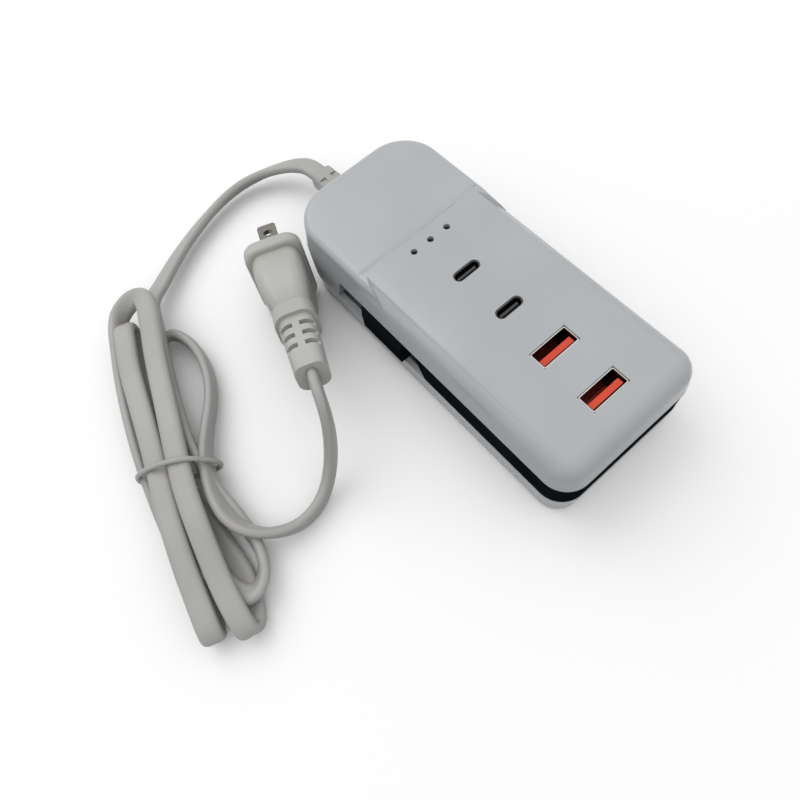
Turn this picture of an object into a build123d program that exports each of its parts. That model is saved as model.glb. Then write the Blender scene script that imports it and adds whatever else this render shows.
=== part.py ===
"""Multi port USB desktop charger with a swing-out phone rest, a mains cord tied in a hank and a two-blade plug.

Millimetres. +Z is up, +Y points to the cord end, and the origin is on the table under the middle of the case.
"""
import os
from math import cos, pi, radians, sin, tan

from build123d import *

os.makedirs("parts", exist_ok=True)

# Case
case_length = 121.0
case_width = 52.0
case_height = 31.0
corner_front = 8.0
corner_rear = 15.0
wall = 1.8
roof = 2.0
base_floor = 2.0
foot_drop = 0.5
seam_z = 10.0
slot_top = 20.4
upper_draft = 8.0
lower_draft = 4.0
top_edge_radius = 2.5
bottom_edge_radius = 1.0
panel_drop = 0.3
panel_step_y = 25.0
shoulder_width = 4.2
shoulder_end_y = 13.0
fit_gap = 0.25
running_gap = 0.3

half_width = case_width / 2
half_length = case_length / 2
panel_z = case_height - panel_drop

# Ports on the centre line, counted from the front end
port_from_front = 13.6
port_pitch = 17.0
usb_a_width = 13.1
usb_a_depth = 5.7
usb_a_sheet = 0.35
usb_c_width = 9.1
usb_c_depth = 3.4
usb_c_sheet = 0.3
port_clearance = 0.1
port_recess = 0.4
light_gap = 15.5
light_spacing = 6.4
light_diameter = 1.9
light_recess = 1.2
port_y = [port_from_front + i * port_pitch - half_length for i in range(4)]
usb_a_y = port_y[:2]
usb_c_y = port_y[2:]
light_y = port_y[3] + light_gap

# Phone rest and its slot
rest_plate = 2.5
lip_thickness = 1.5
lip_inset = 0.15
lip_wrap = 39.5
pivot_diameter = 4.0
pivot_gap = 0.15
boss_radius = 5.6
boss_edge_turn = 111.0
pivot_head_lap = 1.2
pivot_head = 1.0
rest_rear_y = 23.0
tab_front_y = 4.0
tab_proud = 1.3
tab_bevel = 3.5
tab_root = 3.0
taper_start_y = -5.0
notch_rear_y = 33.5
notch_lean = 3.4
notch_depth = 4.6
notch_wall = 1.4
rest_rear_x = -12.6
pivot_x = half_width - corner_front
pivot_y = corner_front - half_length
slot_end_gap = 0.6
slot_end_y = pivot_y + corner_front * sin(radians(lip_wrap)) + slot_end_gap

# Plates inside the case
floor_plate = 1.2
ledge = 1.2
bay_plate = 1.2
bay_rim = 1.2
slot_floor_z = seam_z - running_gap / 2
rest_z = slot_floor_z + running_gap
lip_top = slot_top - running_gap
bay_z = rest_z + rest_plate + running_gap
bay_top = bay_z + bay_plate
slot_rear_y = rest_rear_y + running_gap + bay_rim
bay_right_x = 16.8
bay_corner_gap = 3.0
bay_corner_y = pivot_y + boss_radius + bay_corner_gap
bay_step_x = tab_root + lip_thickness + running_gap - half_width

# Boards
board = 1.6
standoff = 1.0
post = 2.0
post_diameter = 5.0
board_margin = 1.0
post_spacing_x = 34.0
post_spacing_y = 80.0
port_board_width = 28.0
port_board_rear_y = 28.0
link_width = 18.0
link_depth = 2.5
standoff_inset = 3.0
power_board_z = foot_drop + base_floor + post
power_top = power_board_z + board
port_board_z = bay_top + standoff
port_top = port_board_z + board
socket_height = panel_z - port_recess - port_top
bay_front_y = wall + fit_gap + bay_rim + board_margin - half_length
insulator_gap = 0.05
insulator_base = 3.5
tongue_drop = 1.0
tongue_gap = 0.55
usb_a_tongue_depth = 1.85
usb_c_tongue_width = 6.7
usb_c_tongue_depth = 0.8

# Fastening and feet
screw_diameter = 2.6
screw_head = 4.8
screw_head_depth = 1.8
screw_length = 9.0
screw_boss = 6.0
screw_side_inset = 5.8
screw_rear_inset = 7.5
screw_rear_x = 15.0
screw_at = [(-screw_rear_x, half_length - screw_rear_inset), (screw_rear_x, half_length - screw_rear_inset),
            (half_width - screw_side_inset, -28.0), (half_width - screw_side_inset, 12.0)]
foot_diameter = 8.0
foot_thickness = 0.9
foot_side_inset = 9.0
foot_end_inset = 20.5
foot_at = [(side * (half_width - foot_side_inset), end * (half_length - foot_end_inset))
           for side in (-1, 1) for end in (-1, 1)]

# Cord, gland and plug
cord_diameter = 4.6
gland_z = 12.0
gland_width = 10.0
gland_height = 8.0
gland_tip_width = 8.4
gland_tip_height = 6.8
gland_length = 18.0
gland_flange = 2.4
gland_lap = 1.5
gland_rows = 3
gland_first_row = 4.0
gland_row_pitch = 4.6
lead_diameter = 1.8
lead_spacing = 2.8
lead_reach = 2.4
screw_bite = 6.0
tie_wire = 1.5
plug_flange_height = 25.2
plug_flange_width = 19.0
plug_length = 53.0
plug_flange = 4.5
plug_corner = 5.0
plug_edge = 1.2
collar_at = 26.0
plug_grip = [(plug_flange, 15.6, 21.0, 4.0), (17.0, 15.0, 20.0, 4.0), (collar_at, 11.4, 12.4, 4.0)]
collar_length = 6.0
collar_width = 13.0
collar_height = 13.6
relief_width = 11.2
relief_tip = 9.6
relief_rows = 3
relief_first_row = 3.0
relief_row_pitch = 4.2
relief_slot = 1.8
relief_spine = 2.2
relief_core = 2.9
plug_tilt = 17.0
plug_heading = 20.9
plug_at = (-34.3, 57.2)
blade_length = 17.0
blade_width = 6.35
blade_thickness = 1.5
blade_spacing = 12.7
blade_hole = 3.1
blade_hole_from_face = 11.9
gland_end_y = half_length + gland_length
plug_axis = Vector(-sin(radians(plug_heading)) * cos(radians(plug_tilt)),
                   -cos(radians(plug_heading)) * cos(radians(plug_tilt)), sin(radians(plug_tilt)))
plug_plane = Plane((*plug_at, plug_flange_height / 2 * cos(radians(plug_tilt)) + 0.05),
                   x_dir=(cos(radians(plug_heading)), -sin(radians(plug_heading)), 0), z_dir=plug_axis)
plug_tail = plug_plane.origin + plug_axis * plug_length

# Power parts
transformer_at = (11.0, half_length - 20.3)
core_width = 18.0
core_depth = 8.0
core_height = 16.0
core_leg = 6.0
core_window = 3.5
core_yoke = 2.5
core_lift = 0.6
winding_proud = 2.0
bulk_capacitor_at = [(-12.0, half_length - 22.3), (-12.0, half_length - 14.1)]
bulk_capacitor_diameter = 8.0
bulk_capacitor_height = 20.0
output_capacitor_at = [(-4.4, half_length - 23.1), (-4.4, half_length - 17.5)]
output_capacitor_diameter = 5.0
output_capacitor_height = 8.0
choke_at = (-4.6, half_length - 11.1)
choke_diameter = 7.0
choke_height = 10.0
bridge_at = (8.5, half_length - 12.4)
bridge_size = (9.0, 3.2, 8.5)
bridge_corner = 1.2
fuse_at = (8.0, half_length - 8.0)
fuse_diameter = 4.4
fuse_height = 8.0
line_capacitor_at = (18.2, half_length - 12.1)
line_capacitor_size = (4.0, 4.0, 9.0)
heat_sink_at = (-19.2, half_length - 12.5)
heat_sink_size = (1.4, 6.4, 16.0)
switch_size = (1.6, 4.5, 10.0)
small_edge = 0.6

# Cord route, from the gland to the hank, a loose turn beside the hank, and from the plug to the hank
lead_in_points = [(0, gland_end_y, gland_z), (0, gland_end_y + 6.5, gland_z), (-2.2, 91.6, 9.9), (-6.8, 97.6, 7.0),
                  (-14.0, 102.2, 4.4), (-23.4, 104.2, 3.0), (-34.6, 102.4, 2.6), (-46.5, 98.4, 2.6),
                  (-58.0, 93.0, 3.0), (-67.5, 86.6, 4.4), (-74.5, 79.2, 6.6)]
side_loop_points = [(-79.5, 69.5, 6.0), (-73.6, 65.6, 5.6), (-71.4, 56.4, 5.0), (-74.4, 45.0, 4.6),
                    (-80.0, 36.8, 4.6), (-87.0, 31.6, 5.2)]
plug_lead_points = [tuple(plug_tail), tuple(plug_tail + plug_axis * 4.5), (-55.6, 1.6, 28.0), (-57.3, -1.5, 23.6),
                    (-59.8, -4.0, 17.0), (-63.2, -6.4, 10.4), (-68.2, -9.2, 5.2), (-74.4, -11.6, 3.0),
                    (-81.4, -12.5, 2.8), (-88.0, -10.6, 4.0), (-93.0, -6.2, 6.2)]

# Hank: distance along it, sideways shift, width and height of its outer shape, with the tie at the widest stretch
hank_start = (-79.5, 88.5)
hank_end = (-110.2, -29.5)
hank_lift = fit_gap
tie_along = 63.0
tie_shift = -2.6
tie_width = 22.0
tie_height = 14.0
hank_sections = [(0.0, 1.5, 12.0, 8.0), (8.0, 1.2, 18.0, 12.0), (35.0, -1.6, 21.0, 13.4),
                 (tie_along, tie_shift, tie_width, tie_height), (90.0, -1.4, 24.0, 14.0),
                 (113.0, 0.0, 23.0, 11.0), (122.0, -1.5, 17.0, 8.0)]


def case_outline(inset, mode=Mode.ADD):
    """The case seen from above, drawn in the caller's sketch, set in by a distance."""
    with BuildSketch(mode=Mode.PRIVATE) as plan:
        Rectangle(case_width - 2 * inset, case_length - 2 * inset)
        fillet(plan.vertices().group_by(Axis.Y)[0], corner_front - inset)
        fillet(plan.vertices().group_by(Axis.Y)[-1], corner_rear - inset)
    add(plan.sketch, mode=mode)


def edges_at(builder, height):
    """The edges of a builder that lie in one level."""
    return builder.edges().filter_by_position(Axis.Z, height - 0.01, height + 0.01)


def write(builder, name):
    """Label the finished piece and write it as a STEP file."""
    builder.part.label = name
    export_step(builder.part, f"parts/{name}.step")


# Upper shell: drafted walls over a straight skirt, with a lower front panel and bevelled shoulders
with BuildPart() as top_cover:
    with BuildSketch(Plane.XY.offset(seam_z)):
        case_outline(0)
    extrude(amount=slot_top - seam_z)
    with BuildSketch(Plane.XY.offset(slot_top)):
        case_outline(0)
    extrude(amount=case_height - slot_top, taper=upper_draft)
    fillet(edges_at(top_cover, case_height), top_edge_radius)
    with BuildSketch(Plane.XY.offset(seam_z)):
        case_outline(wall)
    extrude(amount=slot_top - seam_z, mode=Mode.SUBTRACT)
    with BuildSketch(Plane.XY.offset(slot_top)):
        case_outline(wall)
    extrude(amount=case_height - roof - slot_top, taper=upper_draft, mode=Mode.SUBTRACT)
    # Pillars that take the case screws, and the block that backs the finger notch
    with BuildSketch(Plane.XY.offset(seam_z + fit_gap)):
        with Locations(*screw_at):
            Circle(screw_boss / 2)
    extrude(amount=case_height - roof - seam_z)
    notch_block = notch_depth + notch_wall
    notch_length = notch_rear_y + notch_lean + notch_wall - slot_rear_y - fit_gap
    with Locations((-half_width + wall / 2, slot_rear_y + fit_gap, seam_z)):
        Box(notch_block - wall / 2, notch_length, slot_top + notch_wall - seam_z,
            align=(Align.MIN, Align.MIN, Align.MIN))
    # Finger notch behind the tab, with a leaning rear end
    with BuildSketch(Plane.YZ.offset(-half_width - wall)):
        with BuildLine():
            Polyline((slot_rear_y - bay_rim, seam_z), (notch_rear_y + notch_lean, seam_z), (notch_rear_y, slot_top),
                     (slot_rear_y - bay_rim, slot_top), close=True)
        make_face()
    extrude(amount=wall + notch_depth, mode=Mode.SUBTRACT)
    # Slot for the phone rest along the left side, the front end and the front right corner
    with BuildSketch(Plane.XY.offset(seam_z)):
        with BuildLine():
            Polyline((-case_width, -case_length), (case_width, -case_length), (case_width, slot_end_y),
                     (bay_right_x, slot_end_y), (bay_right_x, slot_rear_y), (-case_width, slot_rear_y), close=True)
        make_face()
    extrude(amount=slot_top - seam_z, mode=Mode.SUBTRACT)
    # Front panel, a shallow step below the hood
    with Locations((0, panel_step_y, panel_z)):
        Box(case_width, case_length, roof, align=(Align.CENTER, Align.MAX, Align.MIN), mode=Mode.SUBTRACT)
    # Shoulders: a bevel along each long side that runs up to the hood in an S
    shoulder_x = half_width - shoulder_width
    for side in (-1, 1):
        bevel = Plane((side * shoulder_x, 0, panel_z), x_dir=(0, 1, 0), z_dir=(side, 0, 1))
        reach = shoulder_width * 2
        with BuildSketch(bevel):
            with BuildLine():
                top_run = Line((-case_length, side * roof), (panel_step_y + roof, side * roof))
                low_run = Line((-case_length, -side * reach), (shoulder_end_y, -side * reach))
                low_edge = Line((shoulder_end_y, -side * reach), (shoulder_end_y, -side * shoulder_width))
                Spline(top_run @ 1, low_edge @ 1, tangents=((-1, -side * 0.6), (-1, -side * 0.6)))
                Line(top_run @ 0, low_run @ 0)
            make_face()
        extrude(amount=reach, mode=Mode.SUBTRACT)
    # Openings for the ports and the lights
    with BuildSketch(Plane.XY.offset(case_height)):
        with Locations(*[(0, y) for y in usb_a_y]):
            Rectangle(usb_a_width + 2 * port_clearance, usb_a_depth + 2 * port_clearance)
        with Locations(*[(0, y) for y in usb_c_y]):
            SlotOverall(usb_c_width + 2 * port_clearance, usb_c_depth + 2 * port_clearance)
        with Locations(*[(i * light_spacing, light_y) for i in (-1, 0, 1)]):
            Circle(light_diameter / 2 + port_clearance)
    extrude(amount=-2 * roof, mode=Mode.SUBTRACT)
    # Pilot holes for the screws and the upper half of the cord hole
    with Locations(*[(x, y, seam_z) for x, y in screw_at]):
        Cylinder(screw_diameter / 2 - port_clearance, screw_length, align=(Align.CENTER, Align.CENTER, Align.MIN),
                 mode=Mode.SUBTRACT)
    with BuildSketch(Plane.XZ.offset(-half_length - wall)):
        with Locations((0, gland_z)):
            RectangleRounded(gland_width + 2 * port_clearance, gland_height + 2 * port_clearance, gland_height / 3)
    extrude(amount=3 * wall, mode=Mode.SUBTRACT)
write(top_cover, "top_cover")

# Lower shell: an open tray with a ledge for the slot floor
with BuildPart() as bottom_cover:
    with BuildSketch(Plane.XY.offset(seam_z)):
        case_outline(0)
    extrude(amount=foot_drop - seam_z, taper=lower_draft)
    fillet(edges_at(bottom_cover, foot_drop), bottom_edge_radius)
    ledge_z = slot_floor_z - floor_plate
    with BuildSketch(Plane.XY.offset(ledge_z)):
        case_outline(wall)
    extrude(amount=seam_z - ledge_z, mode=Mode.SUBTRACT)
    with BuildSketch(Plane.XY.offset(ledge_z)):
        case_outline(wall + ledge)
    extrude(amount=foot_drop + base_floor - ledge_z, taper=lower_draft, mode=Mode.SUBTRACT)
    # Posts under the power board, and tubes for the case screws
    with BuildSketch(Plane.XY.offset(foot_drop)):
        with GridLocations(post_spacing_x, post_spacing_y, 2, 2):
            Circle(post_diameter / 2)
    extrude(amount=base_floor + post)
    with BuildSketch(Plane.XY.offset(foot_drop)):
        with Locations(*screw_at):
            Circle(screw_boss / 2)
    extrude(amount=seam_z - foot_drop)
    with Locations(*[(x, y, foot_drop) for x, y in screw_at]):
        Cylinder(screw_head / 2 + fit_gap, screw_head_depth + fit_gap,
                 align=(Align.CENTER, Align.CENTER, Align.MIN), mode=Mode.SUBTRACT)
        Cylinder(screw_diameter / 2 + fit_gap, seam_z, align=(Align.CENTER, Align.CENTER, Align.MIN),
                 mode=Mode.SUBTRACT)
    # Shallow seats for the feet, and the lower half of the cord hole
    with Locations(*[(x, y, foot_drop) for x, y in foot_at]):
        Cylinder(foot_diameter / 2 + fit_gap, foot_thickness - foot_drop,
                 align=(Align.CENTER, Align.CENTER, Align.MIN), mode=Mode.SUBTRACT)
    with BuildSketch(Plane.XZ.offset(-half_length - wall)):
        with Locations((0, gland_z)):
            RectangleRounded(gland_width + 2 * port_clearance, gland_height + 2 * port_clearance, gland_height / 3)
    extrude(amount=3 * wall + ledge, mode=Mode.SUBTRACT)
    with Locations((0, half_length - wall, gland_z - gland_height / 2 - gland_lap - fit_gap)):
        Box(gland_width + 2 * gland_lap + 2 * fit_gap, gland_flange + fit_gap, seam_z,
            align=(Align.CENTER, Align.MAX, Align.MIN), mode=Mode.SUBTRACT)
write(bottom_cover, "bottom_cover")

# Floor of the slot, with an ear under the finger notch
with BuildPart() as slot_floor:
    with BuildSketch(Plane.XY.offset(slot_floor_z)):
        case_outline(wall + fit_gap)
        with Locations((0, slot_rear_y)):
            Rectangle(case_width, case_length, align=(Align.CENTER, Align.MIN), mode=Mode.SUBTRACT)
        with Locations((-half_width + wall + fit_gap, slot_rear_y)):
            Rectangle(notch_block, notch_length, align=(Align.MIN, Align.MIN))
        with Locations(*screw_at[2:]):
            Circle(screw_boss / 2 + fit_gap, mode=Mode.SUBTRACT)
        with Locations((pivot_x, pivot_y)):
            Circle(pivot_diameter / 2, mode=Mode.SUBTRACT)
    extrude(amount=-floor_plate)
write(slot_floor, "slot_floor")

# Floor of the port bay: a plate over the slot, a rim behind the lip and skirts down to the slot floor
with BuildPart() as port_bay_floor:
    with BuildSketch(Plane.XY.offset(bay_z)) as bay_plan:
        case_outline(wall + fit_gap)
        with Locations((0, slot_rear_y)):
            Rectangle(case_width, case_length, align=(Align.CENTER, Align.MIN), mode=Mode.SUBTRACT)
        with Locations((bay_right_x, pivot_y)):
            Rectangle(case_width, case_length, align=(Align.MIN, Align.MIN), mode=Mode.SUBTRACT)
        with Locations((pivot_x, pivot_y)):
            Circle(corner_front - wall - fit_gap)
        with Locations((bay_step_x, taper_start_y - running_gap)):
            Rectangle(case_width, case_length, align=(Align.MAX, Align.MIN), mode=Mode.SUBTRACT)
    extrude(amount=bay_plate)
    with BuildSketch(Plane.XY.offset(bay_top)):
        add(bay_plan.sketch.moved(Location((0, 0, -bay_z))))
        offset(bay_plan.sketch.moved(Location((0, 0, -bay_z))), amount=-bay_rim, mode=Mode.SUBTRACT)
        with Locations((0, slot_rear_y)):
            Rectangle(port_board_width + 2 * fit_gap, 3 * bay_rim, mode=Mode.SUBTRACT)
    extrude(amount=slot_top + bay_rim - bay_top)
    with BuildSketch(Plane.XY.offset(slot_floor_z)):
        with Locations((bay_step_x, slot_rear_y)):
            Rectangle(bay_right_x - bay_step_x, bay_rim, align=(Align.MIN, Align.MAX))
        with Locations((bay_right_x, slot_rear_y)):
            Rectangle(bay_rim, slot_rear_y - bay_corner_y + bay_rim, align=Align.MAX)
    extrude(amount=bay_z - slot_floor_z)
    with BuildSketch(Plane.XY.offset(slot_floor_z)):
        with Locations((bay_right_x - bay_rim, bay_corner_y)):
            Rectangle(half_width - wall - fit_gap - bay_right_x + bay_rim, bay_rim, align=(Align.MIN, Align.MAX))
    extrude(amount=slot_top - slot_floor_z)
    with BuildSketch(Plane.XY.offset(bay_top)):
        with Locations((0, port_y[2])):
            with GridLocations(port_board_width - 2 * standoff_inset, port_pitch * 3, 2, 2):
                Circle(screw_diameter)
    extrude(amount=standoff)
    with Locations((pivot_x, pivot_y, bay_z)):
        Cylinder(pivot_diameter / 2, bay_plate, align=(Align.CENTER, Align.CENTER, Align.MIN), mode=Mode.SUBTRACT)
write(port_bay_floor, "port_bay_floor")

# Phone rest: a corner plate with a lip along its two outer edges and a finger tab
with BuildPart() as phone_rest:
    with BuildSketch(Plane.XY.offset(rest_z)) as rest_plan:
        case_outline(lip_inset)
        with BuildSketch(mode=Mode.PRIVATE) as corner_region:
            with BuildLine():
                Polyline((-case_width, -case_length), (pivot_x + case_length * sin(radians(lip_wrap)),
                                                       pivot_y - case_length * cos(radians(lip_wrap))),
                         (pivot_x, pivot_y), (pivot_x + boss_radius * cos(radians(boss_edge_turn)),
                          pivot_y + boss_radius * sin(radians(boss_edge_turn))),
                         (rest_rear_x, rest_rear_y), (-case_width, rest_rear_y), close=True)
            make_face()
        add(corner_region.sketch, mode=Mode.INTERSECT)
        with BuildSketch(mode=Mode.PRIVATE) as tab_recess:
            with BuildLine():
                Polyline((-case_width, taper_start_y), (lip_inset - half_width, taper_start_y),
                         (tab_root - half_width, tab_front_y), (tab_root - half_width, case_length),
                         (-case_width, case_length), close=True)
            make_face()
        add(tab_recess.sketch, mode=Mode.SUBTRACT)
        with Locations((pivot_x, pivot_y)):
            Circle(boss_radius)
            Circle(pivot_diameter / 2 + pivot_gap, mode=Mode.SUBTRACT)
    extrude(amount=rest_plate)
    # The lip follows the outer edge, then the slanted edge that leads in to the tab
    with BuildSketch(Plane.XY.offset(rest_z)):
        add(rest_plan.sketch.moved(Location((0, 0, -rest_z))))
        case_outline(lip_inset + lip_thickness, mode=Mode.SUBTRACT)
        with BuildLine():
            Polyline((lip_inset - half_width, taper_start_y), (tab_root - half_width, tab_front_y),
                     (tab_root + lip_thickness - half_width, tab_front_y),
                     (lip_inset + lip_thickness - half_width, taper_start_y), close=True)
        make_face()
    extrude(amount=lip_top - rest_z)
    # The tab stands proud of the case, with a bevel under the upper shell
    with BuildSketch(Plane.XZ.offset(-rest_rear_y)):
        with BuildLine():
            Polyline((tab_root + lip_thickness - half_width, rest_z), (-half_width - tab_proud, rest_z),
                     (-half_width - tab_proud, lip_top - tab_bevel), (-half_width, lip_top),
                     (tab_root + lip_thickness - half_width, lip_top), close=True)
        make_face()
    extrude(amount=rest_rear_y - tab_front_y)
    outer = phone_rest.edges().filter_by(Axis.Z).sort_by(Axis.X)[:2]
    chamfer(outer.sort_by(Axis.Y)[-1], tab_proud)
    fillet(phone_rest.edges().filter_by(Axis.Y).sort_by(Axis.X)[0], small_edge)
write(phone_rest, "phone_rest")

with BuildPart() as pivot_pin:
    with Locations((pivot_x, pivot_y, slot_floor_z - floor_plate)):
        Cylinder(pivot_diameter / 2, bay_top - slot_floor_z + floor_plate,
                 align=(Align.CENTER, Align.CENTER, Align.MIN))
    with Locations((pivot_x, pivot_y, bay_top)):
        Cylinder(pivot_diameter / 2 + pivot_head_lap, pivot_head, align=(Align.CENTER, Align.CENTER, Align.MIN))
write(pivot_pin, "pivot_pin")

# Boards
with BuildPart() as power_board:
    with BuildSketch(Plane.XY.offset(power_board_z)):
        case_outline(wall + ledge + board_margin)
        with Locations(*screw_at):
            Circle(screw_boss / 2 + fit_gap, mode=Mode.SUBTRACT)
    extrude(amount=board)
write(power_board, "power_board")

with BuildPart() as port_board:
    with BuildSketch(Plane.XY.offset(port_board_z)):
        with Locations((0, bay_front_y)):
            Rectangle(port_board_width, port_board_rear_y - bay_front_y, align=(Align.CENTER, Align.MIN))
        fillet(vertices(), small_edge)
    extrude(amount=board)
write(port_board, "port_board")

with BuildPart() as board_link:
    with Locations((0, (slot_rear_y + port_board_rear_y) / 2, power_top)):
        Box(link_width, link_depth, port_board_z - power_top, align=(Align.CENTER, Align.CENTER, Align.MIN))
write(board_link, "board_link")

# Sockets: a folded metal shell round an insulator with a tongue
for i, y in enumerate(usb_a_y, start=1):
    with BuildPart() as usb_a_shell:
        with BuildSketch(Plane.XY.offset(port_top)):
            with Locations((0, y)):
                RectangleRounded(usb_a_width, usb_a_depth, 2 * usb_a_sheet)
                RectangleRounded(usb_a_width - 2 * usb_a_sheet, usb_a_depth - 2 * usb_a_sheet, usb_a_sheet,
                                 mode=Mode.SUBTRACT)
        extrude(amount=socket_height)
    write(usb_a_shell, f"usb_a_shell_{i}")
    with BuildPart() as usb_a_tongue:
        inner_width = usb_a_width - 2 * usb_a_sheet - 2 * insulator_gap
        inner_depth = usb_a_depth - 2 * usb_a_sheet - 2 * insulator_gap
        with BuildSketch(Plane.XY.offset(port_top)):
            with Locations((0, y)):
                RectangleRounded(inner_width, inner_depth, usb_a_sheet)
        extrude(amount=insulator_base)
        with BuildSketch(Plane.XY.offset(port_top)):
            with Locations((0, y - inner_depth / 2 + tongue_gap)):
                Rectangle(inner_width - 2 * tongue_gap, usb_a_tongue_depth, align=(Align.CENTER, Align.MIN))
        extrude(amount=socket_height - tongue_drop)
    write(usb_a_tongue, f"usb_a_tongue_{i}")

for i, y in enumerate(usb_c_y, start=1):
    with BuildPart() as usb_c_shell:
        with BuildSketch(Plane.XY.offset(port_top)):
            with Locations((0, y)):
                SlotOverall(usb_c_width, usb_c_depth)
                SlotOverall(usb_c_width - 2 * usb_c_sheet, usb_c_depth - 2 * usb_c_sheet, mode=Mode.SUBTRACT)
        extrude(amount=socket_height)
    write(usb_c_shell, f"usb_c_shell_{i}")
    with BuildPart() as usb_c_tongue:
        inner_gap = 2 * usb_c_sheet + 2 * insulator_gap
        with BuildSketch(Plane.XY.offset(port_top)):
            with Locations((0, y)):
                SlotOverall(usb_c_width - inner_gap, usb_c_depth - inner_gap)
        extrude(amount=insulator_base)
        with BuildSketch(Plane.XY.offset(port_top)):
            with Locations((0, y)):
                Rectangle(usb_c_tongue_width, usb_c_tongue_depth)
        extrude(amount=socket_height - tongue_drop)
    write(usb_c_tongue, f"usb_c_tongue_{i}")

with BuildPart() as light_pipes:
    with BuildSketch(Plane.XY.offset(port_top)):
        with Locations(*[(i * light_spacing, light_y) for i in (-1, 0, 1)]):
            Circle(light_diameter / 2)
    extrude(amount=panel_z - light_recess - port_top)
write(light_pipes, "light_pipes")

# Power parts on the rear of the board
with BuildPart() as transformer_core:
    with Locations((*transformer_at, power_top + core_lift)):
        Box(core_width, core_depth, core_height, align=(Align.CENTER, Align.CENTER, Align.MIN))
    with Locations((*transformer_at, power_top + core_lift + core_height / 2)):
        with GridLocations(core_leg + core_window, 0, 2, 1):
            Box(core_window, core_depth, core_height - 2 * core_yoke, mode=Mode.SUBTRACT)
write(transformer_core, "transformer_core")

with BuildPart() as transformer_winding:
    with BuildSketch(Plane.XY.offset(power_top + core_lift + core_yoke + fit_gap)):
        with Locations(transformer_at):
            RectangleRounded(core_leg + 2 * core_window - 2 * fit_gap, core_depth + 2 * winding_proud, 1.5)
            Rectangle(core_leg + 2 * fit_gap, core_depth + 2 * fit_gap, mode=Mode.SUBTRACT)
    extrude(amount=core_height - 2 * core_yoke - 2 * fit_gap)
    # The bobbin's two pin blocks stand on the board at either end of the core
    with Locations((*transformer_at, power_top)):
        with GridLocations(0, core_depth + winding_proud + fit_gap, 1, 2):
            Box(core_leg + 2 * core_window - 2 * fit_gap, winding_proud - fit_gap, core_lift + 2 * core_yoke,
                align=(Align.CENTER, Align.CENTER, Align.MIN))
write(transformer_winding, "transformer_winding")

with BuildPart() as bulk_capacitors:
    with BuildSketch(Plane.XY.offset(power_top)):
        with Locations(*bulk_capacitor_at):
            Circle(bulk_capacitor_diameter / 2)
    extrude(amount=bulk_capacitor_height)
    fillet(bulk_capacitors.edges().group_by(Axis.Z)[-1], small_edge)
write(bulk_capacitors, "bulk_capacitors")

with BuildPart() as output_capacitors:
    with BuildSketch(Plane.XY.offset(power_top)):
        with Locations(*output_capacitor_at):
            Circle(output_capacitor_diameter / 2)
    extrude(amount=output_capacitor_height)
    fillet(output_capacitors.edges().group_by(Axis.Z)[-1], small_edge)
write(output_capacitors, "output_capacitors")

with BuildPart() as input_choke:
    with BuildSketch(Plane.XY.offset(power_top)):
        with Locations(choke_at):
            Circle(choke_diameter / 2)
    extrude(amount=choke_height)
    with Locations((*choke_at, power_top + choke_height / 2)):
        Torus(choke_diameter / 2, choke_diameter / 8, mode=Mode.SUBTRACT)
write(input_choke, "input_choke")

with BuildPart() as bridge_rectifier:
    with Locations((*bridge_at, power_top)):
        Box(*bridge_size, align=(Align.CENTER, Align.CENTER, Align.MIN))
    chamfer(bridge_rectifier.edges().filter_by(Axis.Z).sort_by(Axis.X)[-1], bridge_corner)
write(bridge_rectifier, "bridge_rectifier")

with BuildPart() as fuse:
    with Locations((*fuse_at, power_top)):
        Cylinder(fuse_diameter / 2, fuse_height, align=(Align.CENTER, Align.CENTER, Align.MIN))
    fillet(fuse.edges().group_by(Axis.Z)[-1], small_edge)
write(fuse, "fuse")

with BuildPart() as line_capacitor:
    with Locations((*line_capacitor_at, power_top)):
        Box(*line_capacitor_size, align=(Align.CENTER, Align.CENTER, Align.MIN))
    fillet(line_capacitor.edges().filter_by(Axis.Z), small_edge)
write(line_capacitor, "line_capacitor")

with BuildPart() as heat_sink:
    with Locations((*heat_sink_at, power_top)):
        Box(*heat_sink_size, align=(Align.CENTER, Align.CENTER, Align.MIN))
        with Locations(((heat_sink_size[0] + switch_size[0]) / 2, 0, 0)):
            Box(*switch_size, align=(Align.CENTER, Align.CENTER, Align.MIN))
write(heat_sink, "heat_sink")

# Two leads from the cord down to the board
with BuildPart() as mains_leads:
    for side in (-1, 1):
        lead_start = half_length - wall - gland_flange
        with BuildLine() as lead_path:
            FilletPolyline((side * lead_spacing / 2, lead_start, gland_z),
                           (side * lead_spacing / 2, lead_start - lead_reach, gland_z),
                           (side * lead_spacing / 2, lead_start - lead_reach, power_top), radius=lead_diameter)
        with BuildSketch(Plane(lead_path.line @ 0, z_dir=lead_path.line % 0)):
            Circle(lead_diameter / 2)
        sweep(path=lead_path.line)
write(mains_leads, "mains_leads")

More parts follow.
